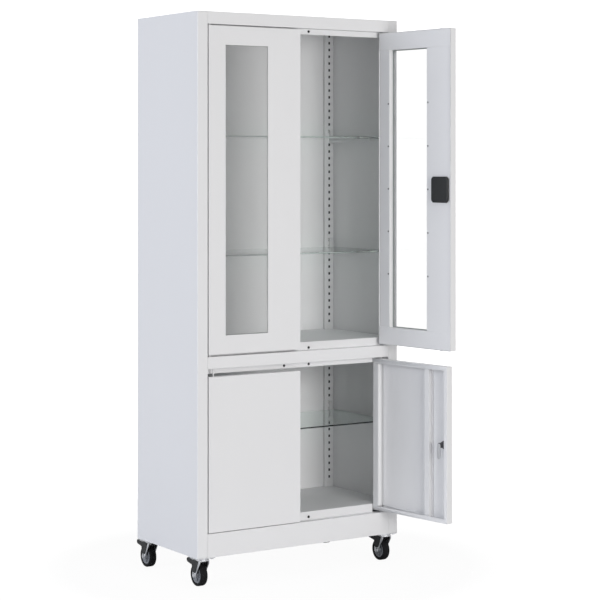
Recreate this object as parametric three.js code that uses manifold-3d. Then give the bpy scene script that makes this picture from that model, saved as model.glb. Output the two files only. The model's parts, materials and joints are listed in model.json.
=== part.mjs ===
// Glass door medical cabinet on castors: a powder-coated steel case with two framed glass doors
// above two folded steel doors, glass shelves on hooked brackets, and four braked castors.
// Millimetres, +Z up. The origin is on the floor under the middle of the case. X runs to the
// right and Y to the back, for someone who stands in front of the doors.

import * as THREE from "three";
import { mergeVertices } from "three/addons/utils/BufferGeometryUtils.js";
import Module from "manifold-3d";

// Case, measured from its front left bottom corner
const WIDTH = 810;
const DEPTH = 415;
const CASE_HEIGHT = 1800;
const CASTOR_HEIGHT = 100;
const SHEET = 1.5;
const GAP = 0.4;
const CORNER_RADIUS = 2.5;
const STILE_WIDTH = 38.5;
const DOOR_RECESS = 28.5;
const REAR_FLANGE = 18;

// Heights above the underside of the case
const PLINTH_TOP = 78;
const LOWER_FLOOR = 106;
const RAIL_BOTTOM = 621;
const RAIL_TOP = 660.5;
const UPPER_FLOOR = 687.5;
const HEADER_BOTTOM = 1758.5;
const STOP_LIP = 19;

// Perforated rear uprights
const UPRIGHT_WIDTH = 36.6;
const UPRIGHT_DEPTH = 14.3;
const HOLE_PITCH = 25;
const HOLE_WIDTH = 7.5;
const HOLE_HEIGHT = 9.5;
const FIRST_HOLE = 143;
const LOWER_HOLES = 17;
const UPPER_FIRST_STEP = 23;
const UPPER_HOLES = 43;

// Glass shelves and their brackets; a shelf hangs from a numbered hole of the uprights
const SHELF_THICKNESS = 5;
const SHELF_FRONT = 45;
const SHELF_BACK = 384;
const SHELF_SIDE_GAP = 4;
const SHELF_BELOW_HOLE = 6;
const SHELF_STEPS = { lower_shelf: 10, middle_shelf: 34, upper_shelf: 50 };
const BRACKET_THICKNESS = 3;
const BRACKET_TIP = 142;
const BRACKET_ARM = 12;
const BRACKET_TIP_HEIGHT = 7;
const BRACKET_LEG = 12;
const HOOK_REACH = 5;
const HOOK_HEIGHT = 5;

// All doors
const DOOR_WIDTH = 361;
const DOOR_THICKNESS = 26;
const DOOR_SIDE_GAP = 4;
const HINGE_DEPTH = 8;
const HINGE_ROD_RADIUS = 2.2;
const HINGE_ROD_ENTRY = 8;

// Upper doors; distances along a door start at its hinge edge
const UPPER_HINGE_INSET = 8;
const UPPER_DOOR = { bottom: 667, top: 1754 };
const UPPER_RIGHT_OPEN = 96;
const WINDOW = { from: 65, to: 230.7, bottom: 729, top: 1691 };
const INNER_OPENING = { from: 53.5, to: 243.3 };
const INNER_RAIL = 61;
const REVEAL_FRONT = 6.4;
const PANE_THICKNESS = 4;
const PANE_LAP = 10;
const GASKET = 2.6;

// Lower doors
const LOWER_HINGE_INSET = 22;
const LOWER_LEFT_DOOR = { bottom: 80, top: 594 };
const LOWER_RIGHT_DOOR = { bottom: 86, top: 615 };
const LOWER_RIGHT_OPEN = 98;
const PAN_LIP = 13;
const STIFFENER_AT = 257;
const STIFFENER_HALF_WIDTH = 11;
const STIFFENER_DEPTH = 17.5;
const STIFFENER_FOOT = 6;
const HINGE_BOX = { width: 26.5, margin: 16 };
const HINGE_NOTCH = 48;
const HINGE_NOTCH_DEPTH = 40;

// Lock of the upper right door
const LOCK_AT = 301;
const LOCK_HEIGHT = 1210;
const LOCK_ROD_RADIUS = 4;
const LOCK_ROD_DEPTH = 12;
const UPPER_ROD_TIP = 1757.8;
const LOWER_ROD_TIP = 661.4;
const CAM_RADIUS = 13;
const CAM_PIN_RADIUS = 2;
const CAM_PIN_ORBIT = 8.5;
const SPINDLE_RADIUS = 4.5;
const HANDLE_LENGTH = 62;
const HANDLE_WIDTH = 15;
const ROSETTE_RADIUS = 20;
const COVER = { width: 80, height: 88, chamfer: 8, depth: 9, at: 313 };

// Lock of the lower right door
const KEY_LOCK_AT = 325;
const KEY_LOCK_HEIGHT = 347;
const BARREL_RADIUS = 9;
const PLUG_RADIUS = 5;
const CAM_REACH = 46;
const CAM_WIDTH = 14;

// Castors, each measured from the floor point under its swivel axis
const CASTOR_INSET_X = 35;
const CASTOR_INSET_Y = 32;
const TRAIL = 18;
const WHEEL_RADIUS = 37.5;
const WHEEL_SIDES = 28;
const AXLE_HEIGHT = WHEEL_RADIUS * Math.cos(Math.PI / WHEEL_SIDES);
const AXLE_RADIUS = 4;
const CORE_RADIUS = 27;
const FORK_INNER = 16.5;
const FORK_SHEET = 2.5;
const FORK_TOP = 91.7;
const PEDAL_PIVOT = { y: 27, z: 79 };
const PEDAL_END = 74;
const PEDAL_PIN_RADIUS = 2.5;

const FINISHES = {
  powder_coat: { color: 0xe3e5ea, roughness: 0.45, metalness: 0 },
  glass: { color: 0xdfeae6, roughness: 0.05, metalness: 0 },
  gasket: { color: 0x6f7a76, roughness: 0.7, metalness: 0 },
  zinc: { color: 0xa9abb0, roughness: 0.35, metalness: 0.9 },
  black_plastic: { color: 0x17181a, roughness: 0.5, metalness: 0 },
  tyre: { color: 0x101112, roughness: 0.8, metalness: 0 },
  grey_plastic: { color: 0x6d7075, roughness: 0.5, metalness: 0 },
};

const wasm = await Module();
wasm.setup();

// Booleans

function toSolid(geometry) {
  const loose = geometry.index ? geometry.toNonIndexed() : geometry;
  const bare = new THREE.BufferGeometry();
  bare.setAttribute("position", loose.getAttribute("position").clone());
  const merged = mergeVertices(bare, 1e-4);
  return new wasm.Manifold(
    new wasm.Mesh({
      numProp: 3,
      vertProperties: merged.getAttribute("position").array,
      triVerts: new Uint32Array(merged.index.array),
    }),
  );
}

function toGeometry(solid) {
  const mesh = solid.getMesh();
  const geometry = new THREE.BufferGeometry();
  geometry.setAttribute("position", new THREE.BufferAttribute(new Float32Array(mesh.vertProperties), 3));
  geometry.setIndex(new THREE.BufferAttribute(new Uint32Array(mesh.triVerts), 1));
  return geometry;
}

function join(...pieces) {
  return toGeometry(pieces.map(toSolid).reduce((all, piece) => all.add(piece)));
}

function cut(piece, ...tools) {
  return toGeometry(tools.map(toSolid).reduce((rest, tool) => rest.subtract(tool), toSolid(piece)));
}

// Basic shapes

function block(x, y, z) {
  const geometry = new THREE.BoxGeometry(x[1] - x[0], y[1] - y[0], z[1] - z[0]);
  return geometry.translate((x[0] + x[1]) / 2, (y[0] + y[1]) / 2, (z[0] + z[1]) / 2);
}

function rod(radius, from, to, sides = 16) {
  const start = new THREE.Vector3(...from);
  const along = new THREE.Vector3(...to).sub(start);
  const geometry = new THREE.CylinderGeometry(radius, radius, along.length(), sides);
  const upright = new THREE.Vector3(0, 1, 0);
  geometry.applyQuaternion(new THREE.Quaternion().setFromUnitVectors(upright, along.clone().normalize()));
  const middle = start.addScaledVector(along, 0.5);
  return geometry.translate(middle.x, middle.y, middle.z);
}

function extrude(points, length) {
  const shape = new THREE.Shape(points.map(([u, v]) => new THREE.Vector2(u, v)));
  return new THREE.ExtrudeGeometry(shape, { depth: length, bevelEnabled: false });
}

// An outline of [x, y] points run up from z0 to z1.
function alongZ(points, z0, z1) {
  return extrude(points, z1 - z0).translate(0, 0, z0);
}

// An outline of [y, z] points run across from x0 to x1.
function alongX(points, x0, x1) {
  const turn = new THREE.Matrix4().makeBasis(
    new THREE.Vector3(0, 1, 0),
    new THREE.Vector3(0, 0, 1),
    new THREE.Vector3(1, 0, 0),
  );
  return extrude(points, x1 - x0).applyMatrix4(turn).translate(x0, 0, 0);
}

// An outline of [x, z] points run back from y0 to y1.
function alongY(points, y0, y1) {
  const turn = new THREE.Matrix4().makeBasis(
    new THREE.Vector3(1, 0, 0),
    new THREE.Vector3(0, 0, 1),
    new THREE.Vector3(0, -1, 0),
  );
  return extrude(points, y1 - y0).applyMatrix4(turn).translate(0, y1, 0);
}

// A closed profile of [radius, x] points turned about the X axis, with a flat side at the bottom.
function turnedOnX(profile, sides) {
  const closed = [...profile, profile[0]].reverse();
  const points = closed.map(([radius, x]) => new THREE.Vector2(radius, x));
  return new THREE.LatheGeometry(points, sides, Math.PI / sides).rotateZ(-Math.PI / 2);
}

function arc(cx, cy, radius, fromDeg, toDeg, steps) {
  return Array.from({ length: steps + 1 }, (_, i) => {
    const angle = THREE.MathUtils.degToRad(fromDeg + ((toDeg - fromDeg) * i) / steps);
    return [cx + radius * Math.cos(angle), cy + radius * Math.sin(angle)];
  });
}

// A slot outline with round ends, upright, about its own middle.
function capsule(cx, cz, width, length, steps) {
  const radius = width / 2;
  const reach = length / 2 - radius;
  return [...arc(cx, cz + reach, radius, 0, 180, steps), ...arc(cx, cz - reach, radius, 180, 360, steps)];
}

function mirrored(points) {
  return points.map(([x, y]) => [WIDTH - x, y]);
}

// Assembly

const cabinet = new THREE.Group();
const body = new THREE.Group();
body.position.set(-WIDTH / 2, -DEPTH / 2, CASTOR_HEIGHT);
cabinet.add(body);

function add(group, name, geometry, finish) {
  const mesh = new THREE.Mesh(geometry, new THREE.MeshStandardMaterial(FINISHES[finish]));
  mesh.name = name;
  group.add(mesh);
}

// Hinge axes, in the frame of the case
const edge = STILE_WIDTH + DOOR_SIDE_GAP;
const hingeX = {
  upper_left: edge + UPPER_HINGE_INSET,
  upper_right: WIDTH - edge - UPPER_HINGE_INSET,
  lower_left: edge + LOWER_HINGE_INSET,
  lower_right: WIDTH - edge - LOWER_HINGE_INSET,
};

// Places of the two lock rods when the upper right door is shut
const lockX = WIDTH - edge - LOCK_AT;

function ledgeHole(x, y, radius, z) {
  return rod(radius, [x, y, z - 5], [x, y, z + 5]);
}

function hingeHoles(row, z) {
  const radius = HINGE_ROD_RADIUS + GAP;
  return ["left", "right"].map((side) => ledgeHole(hingeX[`${row}_${side}`], HINGE_DEPTH, radius, z));
}

function rodHole(z) {
  return ledgeHole(lockX, LOCK_ROD_DEPTH, LOCK_ROD_RADIUS + 2 * GAP, z);
}

// Side panels: one bent sheet each, with the front stile and the flange that takes the back

const sideOutline = [
  ...arc(CORNER_RADIUS, CORNER_RADIUS, CORNER_RADIUS, 180, 270, 3),
  [STILE_WIDTH, 0],
  [STILE_WIDTH, DOOR_RECESS],
  [STILE_WIDTH - SHEET, DOOR_RECESS],
  [STILE_WIDTH - SHEET, SHEET],
  ...arc(CORNER_RADIUS, CORNER_RADIUS, CORNER_RADIUS - SHEET, 270, 180, 3),
  [SHEET, DEPTH - SHEET],
  [REAR_FLANGE, DEPTH - SHEET],
  [REAR_FLANGE, DEPTH],
  [0, DEPTH],
];

// The stile stops under the roof sheet and above the base plate.
function stileTrim(x) {
  const deep = [-1, DOOR_RECESS + 1];
  return [
    block(x, deep, [CASE_HEIGHT - SHEET - GAP, CASE_HEIGHT + 1]),
    block(x, deep, [-1, SHEET + GAP]),
  ];
}

const leftSide = alongZ(sideOutline, 0, CASE_HEIGHT);
const rightSide = alongZ(mirrored(sideOutline), 0, CASE_HEIGHT);
const leftTrim = stileTrim([SHEET, STILE_WIDTH + 1]);
const rightTrim = stileTrim([WIDTH - STILE_WIDTH - 1, WIDTH - SHEET]);
add(body, "left_side_panel", cut(leftSide, ...leftTrim), "powder_coat");
add(body, "right_side_panel", cut(rightSide, ...rightTrim), "powder_coat");

// Back panel, in front of the side flanges

const inner = [SHEET + GAP, WIDTH - SHEET - GAP];
const backRear = DEPTH - SHEET - GAP;
const backFront = backRear - SHEET;
add(body, "back_panel", block(inner, [backFront, backRear], [GAP, CASE_HEIGHT - GAP]), "powder_coat");

// Roof and decks: folded sheets that run across the case, with their fronts between the stiles

const deckBack = backFront - GAP;
const lipBack = DOOR_RECESS + SHEET;
const uprightFront = deckBack - UPRIGHT_DEPTH;

const roofOutline = [
  [0, CASE_HEIGHT],
  [deckBack, CASE_HEIGHT],
  [deckBack, CASE_HEIGHT - SHEET],
  [SHEET, CASE_HEIGHT - SHEET],
  [SHEET, HEADER_BOTTOM + SHEET],
  [lipBack, HEADER_BOTTOM + SHEET],
  [lipBack, HEADER_BOTTOM - STOP_LIP],
  [DOOR_RECESS, HEADER_BOTTOM - STOP_LIP],
  [DOOR_RECESS, HEADER_BOTTOM],
  [0, HEADER_BOTTOM],
];

const middleOutline = [
  [DOOR_RECESS, UPPER_FLOOR],
  [deckBack, UPPER_FLOOR],
  [deckBack, UPPER_FLOOR - SHEET],
  [lipBack, UPPER_FLOOR - SHEET],
  [lipBack, RAIL_TOP - SHEET],
  [SHEET, RAIL_TOP - SHEET],
  [SHEET, RAIL_BOTTOM + SHEET],
  [lipBack, RAIL_BOTTOM + SHEET],
  [lipBack, RAIL_BOTTOM - STOP_LIP],
  [DOOR_RECESS, RAIL_BOTTOM - STOP_LIP],
  [DOOR_RECESS, RAIL_BOTTOM],
  [0, RAIL_BOTTOM],
  [0, RAIL_TOP],
  [DOOR_RECESS, RAIL_TOP],
];

const bottomOutline = [
  [DOOR_RECESS, LOWER_FLOOR],
  [deckBack, LOWER_FLOOR],
  [deckBack, LOWER_FLOOR - SHEET],
  [lipBack, LOWER_FLOOR - SHEET],
  [lipBack, PLINTH_TOP - SHEET],
  [SHEET, PLINTH_TOP - SHEET],
  [SHEET, SHEET],
  [deckBack, SHEET],
  [deckBack, 0],
  [0, 0],
  [0, PLINTH_TOP],
  [DOOR_RECESS, PLINTH_TOP],
];

// Blocks at both ends of a deck, as wide as the stiles, that are cut away from it.
function endCuts(y, z, reach = STILE_WIDTH + GAP) {
  return [block([-1, reach], y, z), block([WIDTH - reach, WIDTH + 1], y, z)];
}

const stileY = [-1, lipBack + GAP];
const uprightY = [uprightFront - GAP, DEPTH];
const notchReach = STILE_WIDTH + HINGE_NOTCH;
const notchY = [DOOR_RECESS - 0.1, HINGE_NOTCH_DEPTH];

const roof = cut(
  alongX(roofOutline, ...inner),
  ...endCuts(stileY, [0, CASE_HEIGHT - SHEET]),
  ...hingeHoles("upper", HEADER_BOTTOM),
  rodHole(HEADER_BOTTOM),
);
add(body, "roof_panel", roof, "powder_coat");

// Only the lower right door reaches up past the stop lip, so the lip gives way beside its hinge.
const [, rightLipNotch] = endCuts(notchY, [0, RAIL_BOTTOM + SHEET / 2], notchReach);

const middle = cut(
  alongX(middleOutline, ...inner),
  ...endCuts(stileY, [0, CASE_HEIGHT]),
  ...endCuts(uprightY, [0, CASE_HEIGHT]),
  rightLipNotch,
  ...hingeHoles("upper", RAIL_TOP),
  ...hingeHoles("lower", RAIL_BOTTOM),
  rodHole(RAIL_TOP),
);
add(body, "middle_deck", middle, "powder_coat");

const bottom = cut(
  alongX(bottomOutline, ...inner),
  ...endCuts(stileY, [SHEET, CASE_HEIGHT]),
  ...endCuts(notchY, [PLINTH_TOP - SHEET / 2, CASE_HEIGHT], notchReach),
  ...hingeHoles("lower", PLINTH_TOP),
);
add(body, "bottom_deck", bottom, "powder_coat");

// Rear uprights: shallow channels with a row of square holes for the shelf brackets

const uprightX = [inner[0], inner[0] + UPRIGHT_WIDTH];
const holeX = inner[0] + UPRIGHT_WIDTH / 2;

const uprightOutline = [
  [uprightX[0], uprightFront],
  [uprightX[1], uprightFront],
  [uprightX[1], deckBack],
  [uprightX[1] - SHEET, deckBack],
  [uprightX[1] - SHEET, uprightFront + SHEET],
  [uprightX[0] + SHEET, uprightFront + SHEET],
  [uprightX[0] + SHEET, deckBack],
  [uprightX[0], deckBack],
];

function holeHeight(step) {
  return FIRST_HOLE + HOLE_PITCH * step;
}

const holeSteps = [
  ...Array.from({ length: LOWER_HOLES }, (_, i) => i),
  ...Array.from({ length: UPPER_HOLES }, (_, i) => UPPER_FIRST_STEP + i),
];

function uprightHoles(x) {
  const acrossX = [x - HOLE_WIDTH / 2, x + HOLE_WIDTH / 2];
  const throughY = [uprightFront - 1, uprightFront + SHEET + 1];
  return holeSteps.map((step) => {
    const z = holeHeight(step);
    return block(acrossX, throughY, [z - HOLE_HEIGHT / 2, z + HOLE_HEIGHT / 2]);
  });
}

const uprightZ = [LOWER_FLOOR + GAP, CASE_HEIGHT - SHEET - GAP];
const leftUpright = cut(alongZ(uprightOutline, ...uprightZ), ...uprightHoles(holeX));
const rightUpright = cut(alongZ(mirrored(uprightOutline), ...uprightZ), ...uprightHoles(WIDTH - holeX));
add(body, "left_upright", leftUpright, "powder_coat");
add(body, "right_upright", rightUpright, "powder_coat");

// Shelves, each on two brackets that hook into the uprights. A bracket stands up behind the glass
// to reach its two holes, so it also keeps the shelf from sliding back.

function bracket(x, top, hook) {
  const back = uprightFront - GAP;
  const stand = back - BRACKET_LEG;
  const head = hook + HOLE_PITCH + HOOK_HEIGHT;
  const plateX = [x - BRACKET_THICKNESS / 2, x + BRACKET_THICKNESS / 2];
  const plate = alongX(
    [
      [BRACKET_TIP, top],
      [BRACKET_TIP, top - BRACKET_TIP_HEIGHT],
      [stand, top - BRACKET_ARM],
      [back, top - BRACKET_ARM],
      [back, head],
      [back - BRACKET_LEG / 2, head],
      [stand, head - BRACKET_LEG / 2],
      [stand, top],
    ],
    ...plateX,
  );
  const hooks = [hook, hook + HOLE_PITCH].map((z) =>
    block(plateX, [back - 1, back + HOOK_REACH], [z - HOOK_HEIGHT / 2, z + HOOK_HEIGHT / 2]),
  );
  return join(plate, ...hooks);
}

for (const [name, step] of Object.entries(SHELF_STEPS)) {
  const hook = holeHeight(step);
  const underside = hook - SHELF_BELOW_HOLE;
  const shelfX = [SHELF_SIDE_GAP, WIDTH - SHELF_SIDE_GAP];
  const shelf = block(shelfX, [SHELF_FRONT, SHELF_BACK], [underside, underside + SHELF_THICKNESS]);
  add(body, name, shelf, "glass");
  add(body, `${name}_left_bracket`, bracket(holeX, underside - GAP, hook), "powder_coat");
  add(body, `${name}_right_bracket`, bracket(WIDTH - holeX, underside - GAP, hook), "powder_coat");
}

// Hinge rods, from the ledge under a door to the ledge over it

function hingeRod(name, below, above) {
  const x = hingeX[name];
  const ends = [below - SHEET - HINGE_ROD_ENTRY, above + SHEET + HINGE_ROD_ENTRY];
  const geometry = rod(HINGE_ROD_RADIUS, [x, HINGE_DEPTH, ends[0]], [x, HINGE_DEPTH, ends[1]]);
  add(body, `${name}_hinge_rod`, geometry, "powder_coat");
}

hingeRod("upper_left", RAIL_TOP, HEADER_BOTTOM);
hingeRod("upper_right", RAIL_TOP, HEADER_BOTTOM);
hingeRod("lower_left", PLINTH_TOP, RAIL_BOTTOM);
hingeRod("lower_right", PLINTH_TOP, RAIL_BOTTOM);

// A door's group has its origin on the hinge axis. Distances along the door start at its hinge
// edge, and depths start at its outer face.
function doorPlan(name, inset, openDeg) {
  const group = new THREE.Group();
  group.position.set(hingeX[name], HINGE_DEPTH, 0);
  group.rotation.z = THREE.MathUtils.degToRad(openDeg);
  body.add(group);
  const direction = name.endsWith("left") ? 1 : -1;
  const at = (distance) => direction * (distance - inset);
  const span = (from, to) => [at(from), at(to)].sort((a, b) => a - b);
  const deep = (from, to) => [from - HINGE_DEPTH, to - HINGE_DEPTH];
  return { name, group, at, span, deep };
}

function rodHoleThrough(door, distance, depth, radius, size) {
  const point = [door.at(distance), depth - HINGE_DEPTH];
  return rod(radius, [...point, size.bottom - 1], [...point, size.top + 1]);
}

// Upper doors

const innerFrom = SHEET + GAP;
const innerTo = DOOR_WIDTH - SHEET - GAP;
const frameZ = [UPPER_DOOR.bottom + innerFrom, UPPER_DOOR.top - innerFrom];
const openingZ = [UPPER_DOOR.bottom + INNER_RAIL, UPPER_DOOR.top - INNER_RAIL];
const stileFace = DOOR_THICKNESS - SHEET;

function upperSkin(door, inset, extraCuts) {
  const { span, deep } = door;
  const { bottom, top } = UPPER_DOOR;
  const shell = block(span(0, DOOR_WIDTH), deep(0, DOOR_THICKNESS), [bottom, top]);
  const hollowZ = [bottom + SHEET, top - SHEET];
  const hollow = block(span(SHEET, DOOR_WIDTH - SHEET), deep(SHEET, DOOR_THICKNESS + 1), hollowZ);
  const window = block(span(WINDOW.from, WINDOW.to), deep(-1, SHEET + 1), [WINDOW.bottom, WINDOW.top]);
  const hinge = rodHoleThrough(door, inset, HINGE_DEPTH, HINGE_ROD_RADIUS + GAP, UPPER_DOOR);
  return cut(shell, hollow, window, hinge, ...extraCuts);
}

function upperFrame(door) {
  const { span, deep } = door;
  const { from, to } = INNER_OPENING;
  const plate = block(span(innerFrom, innerTo), deep(stileFace - SHEET, stileFace), frameZ);
  const acrossRails = span(innerFrom, innerTo);
  const railY = deep(stileFace - SHEET / 2, DOOR_THICKNESS);
  const bottomRail = block(acrossRails, railY, [frameZ[0], openingZ[0]]);
  const topRail = block(acrossRails, railY, [openingZ[1], frameZ[1]]);
  const revealY = deep(REVEAL_FRONT, stileFace);
  const reveal = block(span(from - SHEET, to + SHEET), revealY, [openingZ[0] - SHEET, openingZ[1] + SHEET]);
  const opening = block(span(from, to), deep(0, DOOR_THICKNESS + 1), openingZ);
  return cut(join(plate, bottomRail, topRail, reveal), opening);
}

function upperPane(door) {
  const { span, deep } = door;
  const front = SHEET + GAP;
  const paneZ = [WINDOW.bottom - PANE_LAP, WINDOW.top + PANE_LAP];
  return block(span(WINDOW.from - PANE_LAP, WINDOW.to + PANE_LAP), deep(front, front + PANE_THICKNESS), paneZ);
}

function upperGasket(door) {
  const { span, deep } = door;
  const from = INNER_OPENING.from + GAP;
  const to = INNER_OPENING.to - GAP;
  const low = openingZ[0] + GAP;
  const high = openingZ[1] - GAP;
  const front = SHEET + GAP + PANE_THICKNESS + GAP;
  const ring = block(span(from, to), deep(front, front + GASKET), [low, high]);
  const clear = block(span(from + GASKET, to - GASKET), deep(0, DOOR_THICKNESS), [low + GASKET, high - GASKET]);
  return cut(ring, clear);
}

function upperDoor(name, openDeg, extraCuts = () => []) {
  const door = doorPlan(name, UPPER_HINGE_INSET, openDeg);
  add(door.group, `${name}_door_skin`, upperSkin(door, UPPER_HINGE_INSET, extraCuts(door)), "powder_coat");
  add(door.group, `${name}_door_inner_frame`, upperFrame(door), "powder_coat");
  add(door.group, `${name}_door_glass`, upperPane(door), "glass");
  add(door.group, `${name}_door_gasket`, upperGasket(door), "gasket");
  return door;
}

// The lock's rods leave the door through its top and bottom, and its spindle through the skin.
function lockCuts(door) {
  const x = door.at(LOCK_AT);
  const spindle = door.deep(-1, SHEET + 1);
  return [
    rodHoleThrough(door, LOCK_AT, LOCK_ROD_DEPTH, LOCK_ROD_RADIUS + GAP, UPPER_DOOR),
    rod(SPINDLE_RADIUS + GAP, [x, spindle[0], LOCK_HEIGHT], [x, spindle[1], LOCK_HEIGHT]),
  ];
}

upperDoor("upper_left", 0);
const lockDoor = upperDoor("upper_right", UPPER_RIGHT_OPEN, lockCuts);

// Upper lock. At rest the cam's two pins stand at 45 degrees, with the rods drawn in: a quarter
// turn carries each pin the same way past the spindle and throws its rod.

const pinSide = CAM_PIN_ORBIT * Math.SQRT1_2;
const camY = [5, 8];
const pinEnd = 14.5;

function lockPin(door, side, radius, from, to) {
  const x = door.at(LOCK_AT + side * pinSide);
  const z = LOCK_HEIGHT - side * pinSide;
  const y = door.deep(from, to);
  return rod(radius, [x, y[0], z], [x, y[1], z], 12);
}

function lockCam(door) {
  const x = door.at(LOCK_AT);
  const y = door.deep(...camY);
  const disc = rod(CAM_RADIUS, [x, y[0], LOCK_HEIGHT], [x, y[1], LOCK_HEIGHT], 24);
  const bore = rod(SPINDLE_RADIUS + GAP, [x, y[0] - 1, LOCK_HEIGHT], [x, y[1] + 1, LOCK_HEIGHT]);
  const pins = [1, -1].map((side) => lockPin(door, side, CAM_PIN_RADIUS, camY[1] - 1, pinEnd));
  return join(cut(disc, bore), ...pins);
}

// A lock rod with the flat fork at its inner end that the cam's pin pushes.
function lockRod(door, side, tip, forkY) {
  const x = door.at(LOCK_AT);
  const y = LOCK_ROD_DEPTH - HINGE_DEPTH;
  const start = LOCK_HEIGHT + side * (CAM_RADIUS + 4);
  const bar = rod(LOCK_ROD_RADIUS, [x, y, start], [x, y, tip]);
  const pinZ = LOCK_HEIGHT - side * pinSide;
  const forkX = door.span(LOCK_AT - side * 2.5, LOCK_AT + side * 13);
  const ends = [pinZ - side * 7, start + side * 6].sort((a, b) => a - b);
  const fork = block(forkX, door.deep(...forkY), ends);
  const play = CAM_PIN_RADIUS + GAP;
  const slotX = door.span(LOCK_AT + side * (pinSide - play), LOCK_AT + side * (CAM_PIN_ORBIT + play));
  const slot = block(slotX, door.deep(0, DOOR_THICKNESS), [pinZ - play, pinZ + play]);
  return join(cut(fork, slot), bar);
}

function lockHandle(door) {
  const x = door.at(LOCK_AT);
  const spindleY = door.deep(-GAP - 1, camY[1] - GAP);
  const spindle = rod(SPINDLE_RADIUS, [x, spindleY[0], LOCK_HEIGHT], [x, spindleY[1], LOCK_HEIGHT]);
  const rosetteY = door.deep(-4, -GAP);
  const rosette = rod(ROSETTE_RADIUS, [x, rosetteY[0], LOCK_HEIGHT], [x, rosetteY[1], LOCK_HEIGHT], 32);
  const grip = alongY(capsule(x, LOCK_HEIGHT, HANDLE_WIDTH, HANDLE_LENGTH, 6), ...door.deep(-17, -3.5));
  return join(grip, rosette, spindle);
}

function lockCover(door) {
  const x = door.at(COVER.at);
  const halfWidth = COVER.width / 2;
  const halfHeight = COVER.height / 2;
  const shortWidth = halfWidth - COVER.chamfer;
  const shortHeight = halfHeight - COVER.chamfer;
  const corner = (sx, sz) => [
    [x + sx * halfWidth, LOCK_HEIGHT + sz * shortHeight],
    [x + sx * shortWidth, LOCK_HEIGHT + sz * halfHeight],
  ];
  const outline = [
    ...corner(1, 1),
    ...corner(-1, 1).reverse(),
    ...corner(-1, -1),
    ...corner(1, -1).reverse(),
  ];
  return alongY(outline, ...door.deep(stileFace + GAP, stileFace + GAP + COVER.depth));
}

add(lockDoor.group, "lock_handle", lockHandle(lockDoor), "black_plastic");
add(lockDoor.group, "lock_cam", lockCam(lockDoor), "zinc");
add(lockDoor.group, "lock_upper_rod", lockRod(lockDoor, 1, UPPER_ROD_TIP, [9, 11]), "zinc");
add(lockDoor.group, "lock_lower_rod", lockRod(lockDoor, -1, LOWER_ROD_TIP, [11.8, 13.8]), "zinc");
add(lockDoor.group, "lock_cover", lockCover(lockDoor), "black_plastic");

// Lower doors: folded pans with a lip all round, stiffened by an upright hat channel

function lowerPan(door, size, extraCuts) {
  const { span, deep } = door;
  const { bottom, top } = size;
  const shell = block(span(0, DOOR_WIDTH), deep(0, DOOR_THICKNESS), [bottom, top]);
  const hollowZ = [bottom + SHEET, top - SHEET];
  const hollow = block(span(SHEET, DOOR_WIDTH - SHEET), deep(SHEET, DOOR_THICKNESS - SHEET), hollowZ);
  const rim = SHEET + PAN_LIP;
  const backY = deep(DOOR_THICKNESS - 2 * SHEET, DOOR_THICKNESS + 1);
  const back = block(span(rim, DOOR_WIDTH - rim), backY, [bottom + rim, top - rim]);
  const hinge = rodHoleThrough(door, LOWER_HINGE_INSET, HINGE_DEPTH, HINGE_ROD_RADIUS + GAP, size);
  return join(cut(shell, hollow, back, hinge, ...extraCuts), hingeBox(door, size));
}

// The folded strip that boxes in the hinge rod inside a pan: a face level with the lip and a wall.
function hingeBox(door, size) {
  const { width, margin } = HINGE_BOX;
  const weld = SHEET - 0.1;
  const z = [size.bottom + margin, size.top - margin];
  const face = block(door.span(weld, width), door.deep(DOOR_THICKNESS - SHEET, DOOR_THICKNESS), z);
  const wall = block(door.span(width - SHEET, width), door.deep(weld, DOOR_THICKNESS), z);
  return join(face, wall);
}

function stiffener(door, size) {
  const front = SHEET + GAP;
  const outside = STIFFENER_HALF_WIDTH;
  const inside = outside - SHEET;
  const foot = outside + STIFFENER_FOOT;
  const half = [
    [inside, front],
    [foot, front],
    [foot, front + SHEET],
    [outside, front + SHEET],
    [outside, STIFFENER_DEPTH],
  ];
  const roofPoint = [inside, STIFFENER_DEPTH - SHEET];
  const outline = [
    roofPoint,
    ...half,
    ...half.map(([d, y]) => [-d, y]).reverse(),
    [-roofPoint[0], roofPoint[1]],
  ];
  const placed = outline.map(([d, y]) => [door.at(STIFFENER_AT + d), y - HINGE_DEPTH]);
  const margin = SHEET + 2 * GAP;
  return alongZ(placed, size.bottom + margin, size.top - margin);
}

function lowerDoor(name, size, openDeg, extraCuts = () => []) {
  const door = doorPlan(name, LOWER_HINGE_INSET, openDeg);
  add(door.group, `${name}_door_pan`, lowerPan(door, size, extraCuts(door)), "powder_coat");
  add(door.group, `${name}_door_stiffener`, stiffener(door, size), "powder_coat");
  return door;
}

function keyRod(door, radius, from, to, sides) {
  const x = door.at(KEY_LOCK_AT);
  const y = door.deep(from, to);
  return rod(radius, [x, y[0], KEY_LOCK_HEIGHT], [x, y[1], KEY_LOCK_HEIGHT], sides);
}

lowerDoor("lower_left", LOWER_LEFT_DOOR, 0);
const keyCut = (door) => [keyRod(door, BARREL_RADIUS + GAP, -1, SHEET + 1, 24)];
const keyDoor = lowerDoor("lower_right", LOWER_RIGHT_DOOR, LOWER_RIGHT_OPEN, keyCut);

// Lower lock: a barrel clamped in the skin by its nut, and a plug that turns the cam

function lockBarrel(door) {
  const collar = keyRod(door, BARREL_RADIUS + 2.5, -2.5, -GAP, 24);
  const barrel = keyRod(door, BARREL_RADIUS, -1, DOOR_THICKNESS, 24);
  const nut = keyRod(door, BARREL_RADIUS + 5, SHEET + GAP, SHEET + GAP + 5, 6);
  return cut(join(collar, barrel, nut), keyRod(door, PLUG_RADIUS + GAP, -4, DOOR_THICKNESS + 1, 16));
}

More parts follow.
